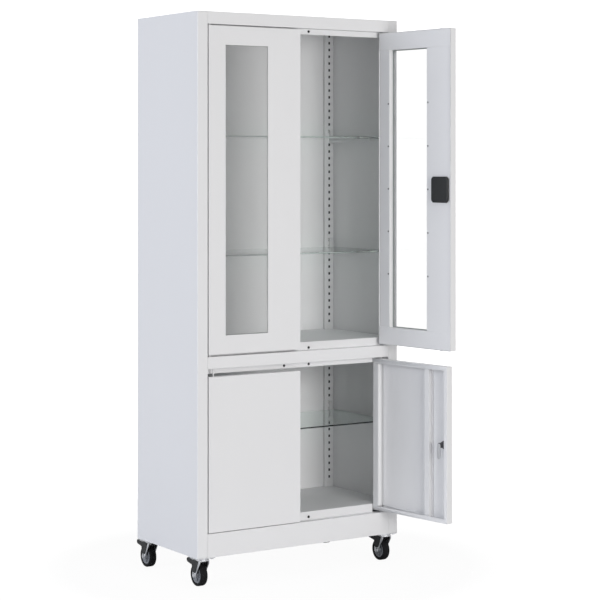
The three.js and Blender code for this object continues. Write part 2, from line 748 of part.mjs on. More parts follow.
function lockTongue(door) {
  const plug = keyRod(door, PLUG_RADIUS, -2, DOOR_THICKNESS + 3, 16);
  const x = door.at(KEY_LOCK_AT);
  const length = CAM_REACH + CAM_WIDTH / 2;
  const middleZ = KEY_LOCK_HEIGHT - length / 2 + CAM_WIDTH / 2;
  const outline = capsule(x, middleZ, CAM_WIDTH, length, 6);
  const tongue = alongY(outline, ...door.deep(DOOR_THICKNESS + 1, DOOR_THICKNESS + 3.5));
  return join(plug, tongue);
}

add(keyDoor.group, "key_lock_barrel", lockBarrel(keyDoor), "zinc");
add(keyDoor.group, "key_lock_cam", lockTongue(keyDoor), "zinc");

// Castors. The wheel trails to the back of its swivel axis, and the brake pedal stands behind it,
// pressed down so that its shoe is on the tyre.

const forkOuter = FORK_INNER + FORK_SHEET;

function castorPlate() {
  const plate = block([-34, 34], [-30, 30], [97, CASTOR_HEIGHT - GAP]);
  return join(plate, rod(22, [0, 0, FORK_TOP + GAP], [0, 0, 98], 24));
}

function castorFork() {
  const leg = [
    [-17, FORK_TOP - 1],
    [-17, 80],
    [TRAIL - 10, AXLE_HEIGHT + 2],
    [TRAIL - 8, AXLE_HEIGHT - 7],
    [TRAIL + 7, AXLE_HEIGHT - 9],
    [TRAIL + 11, AXLE_HEIGHT + 1],
    [PEDAL_PIVOT.y + 7, PEDAL_PIVOT.z - 5],
    [PEDAL_PIVOT.y + 7, FORK_TOP - 4],
    [17, FORK_TOP - 1],
  ];
  const legs = [alongX(leg, -forkOuter, -FORK_INNER), alongX(leg, FORK_INNER, forkOuter)];
  const bridge = block([-forkOuter + 0.1, forkOuter - 0.1], [-16.9, 16.9], [FORK_TOP - 5, FORK_TOP - 1.1]);
  const head = rod(20, [0, 0, FORK_TOP - 5], [0, 0, FORK_TOP], 24);
  const axle = rod(AXLE_RADIUS, [-forkOuter - 1, TRAIL, AXLE_HEIGHT], [forkOuter + 1, TRAIL, AXLE_HEIGHT]);
  const heads = [-1, 1].map((side) =>
    rod(7, [side * (forkOuter - 0.5), TRAIL, AXLE_HEIGHT], [side * (forkOuter + 4), TRAIL, AXLE_HEIGHT], 6),
  );
  const pinEnds = [
    [-forkOuter + 0.2, PEDAL_PIVOT.y, PEDAL_PIVOT.z],
    [forkOuter - 0.2, PEDAL_PIVOT.y, PEDAL_PIVOT.z],
  ];
  return join(...legs, bridge, head, axle, ...heads, rod(PEDAL_PIN_RADIUS, ...pinEnds, 12));
}

function wheelCore() {
  const half = [
    [AXLE_RADIUS + GAP, FORK_INNER - 1],
    [9, FORK_INNER - 1],
    [9.5, 6],
    [21.5, 5],
    [22.5, 11],
    [CORE_RADIUS, 11],
  ];
  const profile = [...half, ...half.map(([radius, x]) => [radius, -x]).reverse()];
  return turnedOnX(profile, WHEEL_SIDES).translate(0, TRAIL, AXLE_HEIGHT);
}

function wheelTyre() {
  const half = [
    [CORE_RADIUS + GAP, 11],
    [33.5, 13],
    [WHEEL_RADIUS, 8],
  ];
  const profile = [...half, ...half.map(([radius, x]) => [radius, -x]).reverse()];
  return turnedOnX(profile, WHEEL_SIDES).translate(0, TRAIL, AXLE_HEIGHT);
}

function brakePedal() {
  const { y, z } = PEDAL_PIVOT;
  const side = [
    [y - 5, z - 1],
    [y + 6, z - 6.2],
    [y + 14, z - 11],
    [PEDAL_END - 5, z - 6],
    [PEDAL_END, z - 2],
    [PEDAL_END, z + 5],
    [PEDAL_END - 5, z + 8.5],
    [y + 14, z + 6.5],
    [y - 5, z + 5],
  ];
  const lever = alongX(side, -FORK_INNER + 1, FORK_INNER - 1);
  const bore = rod(PEDAL_PIN_RADIUS + GAP, [-FORK_INNER, y, z], [FORK_INNER, y, z], 12);
  return cut(lever, bore);
}

const farX = WIDTH / 2 - CASTOR_INSET_X;
const farY = DEPTH / 2 - CASTOR_INSET_Y;
const castorPlaces = {
  front_left: [-farX, -farY],
  front_right: [farX, -farY],
  rear_left: [-farX, farY],
  rear_right: [farX, farY],
};

for (const [place, [x, y]] of Object.entries(castorPlaces)) {
  const castor = new THREE.Group();
  castor.position.set(x, y, 0);
  cabinet.add(castor);
  add(castor, `${place}_castor_plate`, castorPlate(), "zinc");
  add(castor, `${place}_castor_fork`, castorFork(), "zinc");
  add(castor, `${place}_wheel_core`, wheelCore(), "grey_plastic");
  add(castor, `${place}_wheel_tyre`, wheelTyre(), "tyre");
  add(castor, `${place}_brake_pedal`, brakePedal(), "black_plastic");
}

export default cabinet;
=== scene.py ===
# %% [markdown]
# # Glass door medical cabinet
# A clinic cabinet of powder-coated sheet steel stands on four braked castors. Framed glass doors
# close the upper part and folded steel doors the lower part. The construction comes from the
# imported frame, with every piece at its real place in metres. This lesson adds what the eye
# needs: rounded folds, small fasteners, moulded castors and a finish for every surface.

# %% Load the frame
import json
import math

import bmesh
import bpy
from mathutils import Matrix, Vector


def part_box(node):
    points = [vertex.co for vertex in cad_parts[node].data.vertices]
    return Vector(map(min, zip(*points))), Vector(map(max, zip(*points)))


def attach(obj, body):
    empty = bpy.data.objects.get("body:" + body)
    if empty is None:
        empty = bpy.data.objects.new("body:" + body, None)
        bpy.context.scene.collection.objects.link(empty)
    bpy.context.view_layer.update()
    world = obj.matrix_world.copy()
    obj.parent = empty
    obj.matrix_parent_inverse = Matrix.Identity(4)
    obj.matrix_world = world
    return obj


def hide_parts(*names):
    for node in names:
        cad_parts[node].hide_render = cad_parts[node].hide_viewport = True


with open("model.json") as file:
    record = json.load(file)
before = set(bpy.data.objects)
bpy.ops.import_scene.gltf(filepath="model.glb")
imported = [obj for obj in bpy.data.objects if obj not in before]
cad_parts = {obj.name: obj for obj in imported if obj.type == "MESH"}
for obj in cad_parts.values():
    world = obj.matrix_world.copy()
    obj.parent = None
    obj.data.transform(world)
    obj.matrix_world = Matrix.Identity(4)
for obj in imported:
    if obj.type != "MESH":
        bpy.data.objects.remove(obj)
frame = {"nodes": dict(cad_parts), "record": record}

MM = 0.001
record = frame["record"]
bodies = record["behaviour"]["bodies"]
body_of = {node: body for body, nodes in bodies.items() for node in nodes}
slot_of = {row["node"]: row["material_slot"] for row in record["subparts"]}
joint_of = {joint["child"]: joint for joint in record["behaviour"]["joints"]}
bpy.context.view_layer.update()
scene = bpy.context.scene
CASTORS = ("front_left", "front_right", "rear_left", "rear_right")
scene.view_settings.view_transform = "Standard"

# %% [markdown]
# ## Camera
# The photograph was taken level, from the front left, with a long lens. A level camera keeps
# the cabinet's uprights parallel. Tilting it down would make them converge, so the frame is
# lowered with the lens shift instead, as a view camera does.

# %% Camera
PICTURE_SIZE = 600
FOCAL_PIXELS = 1837
HORIZON_ROW = 165.6
SENSOR_WIDTH = 36
CAMERA_PLACE = (-3.417, -5.4315, 1.391)
CAMERA_YAW = -33.16


def make_camera():
    data = bpy.data.cameras.new("photo_camera")
    data.sensor_width = SENSOR_WIDTH
    data.lens = SENSOR_WIDTH * FOCAL_PIXELS / PICTURE_SIZE
    data.shift_y = (HORIZON_ROW - PICTURE_SIZE / 2) / PICTURE_SIZE
    camera = bpy.data.objects.new("photo_camera", data)
    camera.location = CAMERA_PLACE
    camera.rotation_euler = (math.radians(90), 0, math.radians(CAMERA_YAW))
    scene.collection.objects.link(camera)
    return camera


scene.camera = make_camera()
print("camera lens", round(scene.camera.data.lens, 1), "mm")

# %% [markdown]
# ## Node helper
# Shader trees and geometry trees are built the same way: a node is added, its settings are
# set, and each input gets either a plain value or a link from another node. One helper does
# all three, so that the trees below read like a list of steps.

# %% Node helper


def add_node(tree, kind, settings=None, inputs=None):
    made = tree.nodes.new(kind)
    for name, value in (settings or {}).items():
        setattr(made, name, value)
    for name, value in (inputs or {}).items():
        if isinstance(value, bpy.types.NodeSocket):
            tree.links.new(value, made.inputs[name])
        else:
            made.inputs[name].default_value = value
    return made


def new_group(name, kind, inputs, outputs):
    """A node group with named sockets, and the sockets of its input and output nodes."""
    group = bpy.data.node_groups.new(name, kind)
    for label, (socket, value) in inputs.items():
        made = group.interface.new_socket(label, in_out="INPUT", socket_type=socket)
        if value is not None:
            made.default_value = value
    for label, socket in outputs.items():
        group.interface.new_socket(label, in_out="OUTPUT", socket_type=socket)
    given = group.nodes.new("NodeGroupInput").outputs
    result = group.nodes.new("NodeGroupOutput").inputs
    return group, given, result


FLOAT = "NodeSocketFloat"
COLOR = "NodeSocketColor"
VECTOR = "NodeSocketVector"
GEOMETRY = "NodeSocketGeometry"
MATERIAL = "NodeSocketMaterial"
INTEGER = "NodeSocketInt"

# %% [markdown]
# ## Studio
# The cabinet stands on a pale floor in soft light. A broad lamp in front lights the doors and
# the back wall, a cooler one on the left lights the side panel and the inside of the open doors,
# and a weak one above lights the decks. The world is plain white where the camera, a mirror or a
# pane looks at it, and dimmer as a light. The floor fades out round the cabinet, so no horizon
# shows.

# %% World
WHITE = (1.0, 1.0, 1.0, 1.0)
WORLD_LIGHT = 0.265
WORLD_SEEN = 1.5


def make_world():
    world = bpy.data.worlds.new("white_studio")
    world.use_nodes = True
    tree = world.node_tree
    tree.nodes.clear()
    path = add_node(tree, "ShaderNodeLightPath")
    seen = add_node(tree, "ShaderNodeMath", {"operation": "ADD", "use_clamp": True})
    tree.links.new(path.outputs["Is Camera Ray"], seen.inputs[0])
    tree.links.new(path.outputs["Is Glossy Ray"], seen.inputs[1])
    clear = add_node(tree, "ShaderNodeMath", {"operation": "ADD", "use_clamp": True})
    tree.links.new(seen.outputs[0], clear.inputs[0])
    tree.links.new(path.outputs["Is Transmission Ray"], clear.inputs[1])
    light = add_node(tree, "ShaderNodeBackground", inputs={"Color": WHITE, "Strength": WORLD_LIGHT})
    white = add_node(tree, "ShaderNodeBackground", inputs={"Color": WHITE, "Strength": WORLD_SEEN})
    mix = add_node(tree, "ShaderNodeMixShader", inputs={"Fac": clear.outputs[0]})
    tree.links.new(light.outputs[0], mix.inputs[1])
    tree.links.new(white.outputs[0], mix.inputs[2])
    add_node(tree, "ShaderNodeOutputWorld", inputs={"Surface": mix.outputs[0]})
    scene.world = world


make_world()
print("world lights with strength", WORLD_LIGHT)

# %% Lamps
AIM = Vector((0.05, 0.0, 0.95))


def area_lamp(name, place, size, watts, colour):
    data = bpy.data.lights.new(name, "AREA")
    data.shape = "SQUARE"
    data.size = size
    data.energy = watts
    data.color = colour
    lamp = bpy.data.objects.new(name, data)
    lamp.location = place
    lamp.rotation_euler = (AIM - Vector(place)).to_track_quat("-Z", "Y").to_euler()
    scene.collection.objects.link(lamp)


area_lamp("front_lamp", (-0.2, -5.0, 1.35), 2.0, 121, (1.0, 0.985, 0.97))
area_lamp("left_lamp", (-4.4, 0.1, 1.9), 3.0, 106, (0.86, 0.90, 1.0))
area_lamp("top_lamp", (0.3, -0.8, 4.6), 2.5, 20, (1.0, 1.0, 1.0))

# %% Floor
FLOOR_RADIUS = 6.0
FLOOR_SOLID = 0.7
FLOOR_GONE = 2.6
FLOOR_GLOW = 0.95
FLOOR_TONES = (0.90, 0.94)
FLOOR_SPECK = 40.0
FLOOR_SIDES = 96


def floor_material():
    material = bpy.data.materials.new("pale_floor")
    material.use_nodes = True
    tree = material.node_tree
    tree.nodes.clear()
    coords = add_node(tree, "ShaderNodeTexCoord").outputs["Object"]
    far = add_node(tree, "ShaderNodeVectorMath", {"operation": "LENGTH"}, {"Vector": coords})
    fade = add_node(tree, "ShaderNodeMapRange", inputs={"Value": far.outputs["Value"]})
    fade.inputs["From Min"].default_value = FLOOR_SOLID
    fade.inputs["From Max"].default_value = FLOOR_GONE
    speck = add_node(tree, "ShaderNodeTexNoise", inputs={"Vector": coords, "Scale": FLOOR_SPECK})
    tones = {"Value": speck.outputs["Fac"], "To Min": FLOOR_TONES[0], "To Max": FLOOR_TONES[1]}
    tone = add_node(tree, "ShaderNodeMapRange", inputs=tones)
    paint = add_node(tree, "ShaderNodeBsdfDiffuse", inputs={"Color": tone.outputs["Result"]})
    glow = add_node(tree, "ShaderNodeEmission", inputs={"Strength": 1.0})
    path = add_node(tree, "ShaderNodeLightPath")
    share = add_node(tree, "ShaderNodeMath", {"operation": "MULTIPLY"}, {1: FLOOR_GLOW})
    tree.links.new(path.outputs["Is Camera Ray"], share.inputs[0])
    lit = add_node(tree, "ShaderNodeMixShader", inputs={"Fac": share.outputs[0]})
    tree.links.new(paint.outputs[0], lit.inputs[1])
    tree.links.new(glow.outputs[0], lit.inputs[2])
    gone = add_node(tree, "ShaderNodeBsdfTransparent")
    mix = add_node(tree, "ShaderNodeMixShader", inputs={"Fac": fade.outputs["Result"]})
    tree.links.new(lit.outputs[0], mix.inputs[1])
    tree.links.new(gone.outputs[0], mix.inputs[2])
    add_node(tree, "ShaderNodeOutputMaterial", inputs={"Surface": mix.outputs[0]})
    return material


def make_floor():
    mesh = bpy.data.meshes.new("studio_floor")
    shape = bmesh.new()
    bmesh.ops.create_circle(shape, cap_ends=True, segments=FLOOR_SIDES, radius=FLOOR_RADIUS)
    shape.to_mesh(mesh)
    shape.free()
    mesh.materials.append(floor_material())
    floor = bpy.data.objects.new("studio_floor", mesh)
    scene.collection.objects.link(floor)


make_floor()
print("floor fades between", FLOOR_SOLID, "and", FLOOR_GONE, "m")

# %% [markdown]
# ## Shared surface effects
# Powder coat, moulded plastic, zinc and rubber all have a fine grain and a faint unevenness,
# only at different scales. One shader group gives both, and each finish sets its own values. A
# second group finds the edges of a piece, rounds their shading and paints a lighter highlight on
# them.

# %% Grain group
GRAIN_DETAIL = 3.0
PATCH_DETAIL = 4.0


def make_grain_group():
    inputs = {
        "Color": (COLOR, (0.8, 0.8, 0.8, 1.0)),
        "Roughness": (FLOAT, 0.5),
        "Grain Scale": (FLOAT, 400.0),
        "Patch Scale": (FLOAT, 5.0),
        "Patch Amount": (FLOAT, 0.03),
        "Roughness Amount": (FLOAT, 0.1),
    }
    outputs = {"Color": COLOR, "Roughness": FLOAT, "Height": FLOAT}
    group, given, result = new_group("surface_grain", "ShaderNodeTree", inputs, outputs)
    place = add_node(group, "ShaderNodeTexCoord").outputs["Object"]
    grain = {"Vector": place, "Scale": given["Grain Scale"], "Detail": GRAIN_DETAIL}
    fine = add_node(group, "ShaderNodeTexNoise", inputs=grain)
    patches = {"Vector": place, "Scale": given["Patch Scale"], "Detail": PATCH_DETAIL}
    broad = add_node(group, "ShaderNodeTexNoise", inputs=patches)
    minus, blend = {"operation": "SUBTRACT"}, {"operation": "MULTIPLY_ADD"}
    centred = add_node(group, "ShaderNodeMath", minus, {0: broad.outputs["Fac"], 1: 0.5}).outputs[0]
    patch = add_node(group, "ShaderNodeMath", blend, {0: centred, 1: given["Patch Amount"], 2: 1.0})
    tint = add_node(group, "ShaderNodeVectorMath", {"operation": "SCALE"}, {0: given["Color"]})
    group.links.new(patch.outputs[0], tint.inputs["Scale"])
    spread = {0: centred, 1: given["Roughness Amount"], 2: given["Roughness"]}
    uneven = add_node(group, "ShaderNodeMath", blend, spread)
    group.links.new(tint.outputs[0], result["Color"])
    group.links.new(uneven.outputs[0], result["Roughness"])
    group.links.new(fine.outputs["Fac"], result["Height"])
    return group


grain_group = make_grain_group()
print("shader group:", grain_group.name)

# %% Edge highlight group
EDGE_SAMPLES = 4
EDGE_AGREEMENT = (1.0, 0.75)


def make_edge_highlight_group():
    inputs = {
        "Radius": (FLOAT, 0.001),
        "Color": (COLOR, (0.8, 0.8, 0.8, 1.0)),
        "Highlight Color": (COLOR, (1.0, 1.0, 1.0, 1.0)),
    }
    outputs = {"Color": COLOR, "Normal": VECTOR}
    group, given, result = new_group("painted_edge_highlight", "ShaderNodeTree", inputs, outputs)
    sampling = {"samples": EDGE_SAMPLES}
    bevel = add_node(group, "ShaderNodeBevel", sampling, {"Radius": given["Radius"]})
    flat = add_node(group, "ShaderNodeNewGeometry").outputs["Normal"]
    agree = add_node(group, "ShaderNodeVectorMath", {"operation": "DOT_PRODUCT"})
    group.links.new(bevel.outputs[0], agree.inputs[0])
    group.links.new(flat, agree.inputs[1])
    mask = add_node(group, "ShaderNodeMapRange", inputs={"Value": agree.outputs["Value"]})
    mask.inputs["From Min"].default_value = EDGE_AGREEMENT[0]
    mask.inputs["From Max"].default_value = EDGE_AGREEMENT[1]
    # The lighter edge colour is a painted highlight; the bevel normal rounds the real shading.
    blend = add_node(group, "ShaderNodeMix", {"data_type": "RGBA"}, {0: mask.outputs["Result"]})
    group.links.new(given["Color"], blend.inputs[6])
    group.links.new(given["Highlight Color"], blend.inputs[7])
    group.links.new(blend.outputs[2], result["Color"])
    group.links.new(bevel.outputs[0], result["Normal"])
    return group


edge_highlight_group = make_edge_highlight_group()
print("shader group:", edge_highlight_group.name)

# %% Channel shade group


def make_channel_shade_group():
    """Painted shade: the colour turns near black within the given limits, inside the channels."""
    inputs = {
        "Color": (COLOR, (0.8, 0.8, 0.8, 1.0)),
        "Shade Color": (COLOR, (0.05, 0.05, 0.05, 1.0)),
        "Side Start": (FLOAT, 0.0),
        "Depth Start": (FLOAT, 0.0),
        "Depth End": (FLOAT, 1.0),
    }
    group, given, result = new_group("painted_channel_shade", "ShaderNodeTree", inputs, {"Color": COLOR})
    coords = add_node(group, "ShaderNodeTexCoord").outputs["Object"]
    axes = add_node(group, "ShaderNodeSeparateXYZ", inputs={"Vector": coords})
    absolute = {"operation": "ABSOLUTE"}
    side = add_node(group, "ShaderNodeMath", absolute, {0: axes.outputs["X"]}).outputs[0]
    depth = axes.outputs["Y"]
    greater, less = {"operation": "GREATER_THAN"}, {"operation": "LESS_THAN"}
    beside = add_node(group, "ShaderNodeMath", greater, {0: side, 1: given["Side Start"]})
    behind = add_node(group, "ShaderNodeMath", greater, {0: depth, 1: given["Depth Start"]})
    before = add_node(group, "ShaderNodeMath", less, {0: depth, 1: given["Depth End"]})
    times = {"operation": "MULTIPLY"}
    between = add_node(group, "ShaderNodeMath", times, {0: behind.outputs[0], 1: before.outputs[0]})
    both = add_node(group, "ShaderNodeMath", times, {0: beside.outputs[0], 1: between.outputs[0]})
    blend = add_node(group, "ShaderNodeMix", {"data_type": "RGBA"}, {0: both.outputs[0]})
    group.links.new(given["Color"], blend.inputs[6])
    group.links.new(given["Shade Color"], blend.inputs[7])
    group.links.new(blend.outputs[2], result["Color"])
    return group


channel_shade_group = make_channel_shade_group()
print("shader group:", channel_shade_group.name)

# %% [markdown]
# ## Finishes
# The steel has a satin light grey powder coat with a slight orange peel. The small metal parts
# are bright zinc, the lock cover, handle and pedals are fine-grained black plastic, the wheels
# have a grey moulded core and a matt black tyre, and a grey-green rubber strip beds each pane.

# %% Finish helper


def grained(name, colour, roughness, grain, patch, bump, edge=None, metallic=0.0, specular=0.5):
    """A finish made of the grain group, an optional edge group, a bump and one Principled BSDF.

    patch is the scale, colour share and roughness share of the unevenness, bump the strength and
    depth of the grain, and edge the radius of the rounded edges and their painted highlight colour.
    """
    material = bpy.data.materials.new(name)
    material.use_nodes = True
    tree = material.node_tree
    shader = tree.nodes["Principled BSDF"]
    shader.inputs["Metallic"].default_value = metallic
    shader.inputs["Specular IOR Level"].default_value = specular
    surface = add_node(tree, "ShaderNodeGroup", {"node_tree": grain_group})
    values = {"Color": (*colour, 1.0), "Roughness": roughness, "Grain Scale": grain}
    values |= {"Patch Scale": patch[0], "Patch Amount": patch[1], "Roughness Amount": patch[2]}
    for label, value in values.items():
        surface.inputs[label].default_value = value
    relief = add_node(tree, "ShaderNodeBump", inputs={"Strength": bump[0], "Distance": bump[1]})
    tree.links.new(surface.outputs["Height"], relief.inputs["Height"])
    shown = surface.outputs["Color"]
    if edge:
        edge_lit = add_node(tree, "ShaderNodeGroup", {"node_tree": edge_highlight_group}, {"Color": shown})
        edge_lit.inputs["Radius"].default_value = edge[0]
        edge_lit.inputs["Highlight Color"].default_value = (*edge[1], 1.0)
        tree.links.new(edge_lit.outputs["Normal"], relief.inputs["Normal"])
        shown = edge_lit.outputs["Color"]
    tree.links.new(shown, shader.inputs["Base Color"])
    tree.links.new(surface.outputs["Roughness"], shader.inputs["Roughness"])
    tree.links.new(relief.outputs[0], shader.inputs["Normal"])
    return material


# %% Metal, plastic and rubber finishes
# The edge colours below are painted highlights on the rounded edges.
finishes = {
    "powder_coat": grained(
        "powder_coat", (0.775, 0.777, 0.788), 0.46, 480, (3.0, 0.035, 0.12), (0.12, 0.0003),
        edge=(0.0012, (0.83, 0.832, 0.842)), specular=0.4,
    ),
    "zinc": grained(
        "zinc", (0.60, 0.61, 0.63), 0.34, 900, (60.0, 0.25, 0.3), (0.1, 0.0002),
        edge=(0.0006, (0.72, 0.73, 0.75)), metallic=1.0,
    ),
    "black_plastic": grained(
        "black_plastic", (0.012, 0.013, 0.014), 0.5, 1500, (25.0, 0.3, 0.15), (0.2, 0.0002),
        edge=(0.0008, (0.03, 0.031, 0.033)), specular=0.3,
    ),
    "tyre": grained(
        "tyre", (0.007, 0.007, 0.008), 0.76, 1200, (40.0, 0.5, 0.2), (0.25, 0.0003), specular=0.12,
    ),
    "grey_plastic": grained(
        "grey_plastic", (0.20, 0.21, 0.23), 0.42, 1400, (30.0, 0.2, 0.15), (0.12, 0.0002),
        edge=(0.0008, (0.30, 0.31, 0.33)),
    ),
    "gasket": grained("gasket", (0.27, 0.30, 0.29), 0.66, 1000, (15.0, 0.15, 0.1), (0.2, 0.0002)),
}
# Dark steel for the lock barrel and the retainer screws; on the key slot bar it is painted shade.
dark_steel_and_shade = grained(
    "dark_steel_and_shade", (0.10, 0.10, 0.105), 0.42, 900, (80.0, 0.3, 0.2), (0.1, 0.0002), metallic=0.6,
)
bumper_rubber = grained(
    "bumper_rubber", (0.03, 0.03, 0.032), 0.7, 1200, (60.0, 0.3, 0.1), (0.2, 0.0002), specular=0.2,
)
print("finishes:", sorted(finishes))

# %% [markdown]
# ## Painted shade in the holes
# The holes of the rear uprights look into narrow channels. Their shade is painted: the coat of
# the uprights turns near black behind their front sheet, and that of the back panel behind them.

# %% Coats with painted channel shade
# Near black painted shade for the insides of the channels.
CHANNEL_SHADE = (0.012, 0.012, 0.013, 1.0)
SHEET = 1.5 * MM
SHADE_OFFSET = 0.8 * SHEET


def coat_with_channel_shade(name, side_start, depth_start, depth_end):
    """A copy of the powder coat with painted shade, near black beyond the side and between the
    depths.
    """
    material = finishes["powder_coat"].copy()
    material.name = name
    tree = material.node_tree
    shader = tree.nodes["Principled BSDF"]
    coat = shader.inputs["Base Color"].links[0].from_socket
    shading = add_node(tree, "ShaderNodeGroup", {"node_tree": channel_shade_group}, {"Color": coat})
    shading.inputs["Shade Color"].default_value = CHANNEL_SHADE
    shading.inputs["Side Start"].default_value = side_start
    shading.inputs["Depth Start"].default_value = depth_start
    shading.inputs["Depth End"].default_value = depth_end
    tree.links.new(shading.outputs["Color"], shader.inputs["Base Color"])
    return material


upright_low, upright_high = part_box("left_upright")
upright_front = upright_low[1]
channel_side = SHEET / 2 - upright_high[0]
back_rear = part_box("back_panel")[1][1]
# The uprights and the back panel get painted shade inside the channels behind the holes.
upright_coat = coat_with_channel_shade("upright_coat", channel_side, upright_front + SHADE_OFFSET, back_rear)
back_coat = coat_with_channel_shade("back_coat", channel_side, upright_front, back_rear - SHEET / 2)
print("painted shade starts behind y", round(upright_front, 4), "and beside x", round(channel_side, 4))

# %% [markdown]
# ## Glass
# The panes and shelves are clear float glass, a little green through the edge. A solid slab
# with a transmitting Principled BSDF bends and mirrors light as the real pane does. Lamps would
# be blocked by it, so shadow rays see a clear shader instead. Faint wiping marks vary the gloss.

# %% Glass
# The panes' grey tint is darker than clear glass: it paints shade on the bay seen behind them.
PANE_COLOUR = (0.735, 0.735, 0.735)
PANE_SHADOW = (0.42, 0.42, 0.42, 1.0)
SHELF_COLOUR = (0.84, 0.92, 0.89)
SHELF_SHADOW = (0.90, 0.95, 0.93, 1.0)
GLASS_IOR = 1.5
GLASS_SURFACE = {"Roughness": 0.012, "Grain Scale": 300.0, "Roughness Amount": 0.02}
GLASS_SURFACE |= {"Patch Scale": 9.0, "Patch Amount": 0.02}


def make_glass(name, colour, shadow):
    material = bpy.data.materials.new(name)
    material.use_nodes = True
    tree = material.node_tree
    shader = tree.nodes["Principled BSDF"]
    shader.inputs["Transmission Weight"].default_value = 1.0
    shader.inputs["IOR"].default_value = GLASS_IOR
    surface = add_node(tree, "ShaderNodeGroup", {"node_tree": grain_group})
    for label, value in ({"Color": (*colour, 1.0)} | GLASS_SURFACE).items():
        surface.inputs[label].default_value = value
    tree.links.new(surface.outputs["Color"], shader.inputs["Base Color"])
    tree.links.new(surface.outputs["Roughness"], shader.inputs["Roughness"])
    clear = add_node(tree, "ShaderNodeBsdfTransparent", inputs={"Color": shadow})
    path = add_node(tree, "ShaderNodeLightPath")
    mix = add_node(tree, "ShaderNodeMixShader", inputs={"Fac": path.outputs["Is Shadow Ray"]})
    tree.links.new(shader.outputs[0], mix.inputs[1])
    tree.links.new(clear.outputs[0], mix.inputs[2])
    tree.links.new(mix.outputs[0], tree.nodes["Material Output"].inputs["Surface"])
    return material


finishes["glass"] = make_glass("pane_glass", PANE_COLOUR, PANE_SHADOW)
shelf_glass = make_glass("shelf_glass", SHELF_COLOUR, SHELF_SHADOW)
print("glass:", finishes["glass"].name, shelf_glass.name)

# %% [markdown]
# ## Dress the frame
# Pieces whose shape is already right keep their own mesh and only get a finish. The finish is
# chosen by the material slot that the record gives each node.

# %% Finish every node
own_finish = {"left_upright": upright_coat, "right_upright": upright_coat, "back_panel": back_coat}
own_finish["key_lock_barrel"] = dark_steel_and_shade
own_finish |= {name: shelf_glass for name in frame["nodes"] if name.endswith("_shelf")}
for name, piece in frame["nodes"].items():
    piece.data.materials.clear()
    piece.data.materials.append(own_finish.get(name, finishes[slot_of[name]]))
print("finished", len(frame["nodes"]), "nodes")

# %% [markdown]
# ## Pieces of the scene
# Every new piece is a mesh at the origin whose vertices are already in place. It rides on the
# body that carries it, takes its finish from a slot of the record, and may stand for CAD nodes.

# %% Piece helper


def put_piece(name, mesh, body, slot, material=None, stands_for=()):
    mesh.materials.clear()
    mesh.materials.append(material or finishes[slot])
    piece = bpy.data.objects.new(name, mesh)
    scene.collection.objects.link(piece)
    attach(piece, body)
    if stands_for:
        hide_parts(*stands_for)


def modified(name, mesh, kind, set_up):
    """The mesh after one modifier, as a plain mesh. set_up receives the new modifier."""
    holder = bpy.data.objects.new(name, mesh)
    scene.collection.objects.link(holder)
    set_up(holder.modifiers.new(name, kind))
    depsgraph = bpy.context.evaluated_depsgraph_get()
    made = bpy.data.meshes.new_from_object(holder.evaluated_get(depsgraph), depsgraph=depsgraph)
    bpy.data.objects.remove(holder)
    made.name = name
    return made


# %% [markdown]
# ## Soft edges
# Bent sheet and moulded plastic have no knife edges. A copy of a node is merged and its outward
# corners are rounded. The limits pick the corners: a fold of a door lies between two broad faces,
# so the rim of the sheet stays thin. Weighted normals keep the large faces flat.

# %% Soft edges
SMOOTH_ANGLE = math.radians(50)
MERGE_DISTANCE = 2e-6


def keep_sharp(modifier):
    modifier.keep_sharp = True


def softened(node, radius, least_breadth=0.0, least_length=0.0, segments=3):
    """A copy of a node with rounded folds, which stands for it. Returns the number of folds."""
    source = frame["nodes"][node].data
    shape = bmesh.new()
    shape.from_mesh(source)
    bmesh.ops.remove_doubles(shape, verts=shape.verts, dist=MERGE_DISTANCE)

    def is_fold(edge):
        if not (edge.is_manifold and edge.is_convex and edge.calc_length() > least_length):
            return False
        breadth = min(2 * face.calc_area() / edge.calc_length() for face in edge.link_faces)
        return edge.calc_face_angle(0) > SMOOTH_ANGLE and breadth > least_breadth

    folds = [edge for edge in shape.edges if is_fold(edge)]
    bmesh.ops.bevel(
        shape, geom=folds, offset=radius, offset_type="OFFSET", segments=segments, profile=0.5,
        affect="EDGES", clamp_overlap=True,
    )
    mesh = bpy.data.meshes.new(node + "_soft")
    shape.to_mesh(mesh)
    shape.free()
    mesh.shade_smooth()
    mesh.set_sharp_from_angle(angle=SMOOTH_ANGLE)
    mesh = modified(node + "_soft", mesh, "WEIGHTED_NORMAL", keep_sharp)
    put_piece(node + "_soft", mesh, body_of[node], slot_of[node], source.materials[0], [node])
    return len(folds)


DOOR_FOLD = 1.3 * MM
DOOR_FACE = 3 * MM
DOOR_EDGE = 20 * MM
UPPER_DOORS = ("upper_left_door", "upper_right_door")
LOWER_DOORS = ("lower_left_door", "lower_right_door")
for shell in [door + "_skin" for door in UPPER_DOORS] + [door + "_pan" for door in LOWER_DOORS]:
    print(shell, "folds rounded:", softened(shell, DOOR_FOLD, DOOR_FACE, DOOR_EDGE))

GLASS_EDGE = 0.8 * MM
for shelf in ("lower_shelf", "middle_shelf", "upper_shelf"):
    print(shelf, "edges polished:", softened(shelf, GLASS_EDGE))

PLASTIC_EDGE = 2.5 * MM
PLASTIC_EDGES = {"lock_cover": 2.6 * MM, "lock_handle": 2.6 * MM}
PLASTIC_EDGES |= {place + "_brake_pedal": 2.2 * MM for place in CASTORS}
for moulding, radius in PLASTIC_EDGES.items():
    print(moulding, "edges rounded:", softened(moulding, radius, least_length=PLASTIC_EDGE))

# %% [markdown]
# ## Fasteners
# Screws, bumpers, bolts and rivets are all short turned heads that sit on a face. One geometry
# tree makes such a head and copies it to points. Its inputs are the number of sides, the radius,
# the taper, the height and the direction it faces. A hexagon gives a bolt, a wide taper a rivet.
# A fixed seed turns each head a little, as no fitter lines them up.

# %% Fastener tree


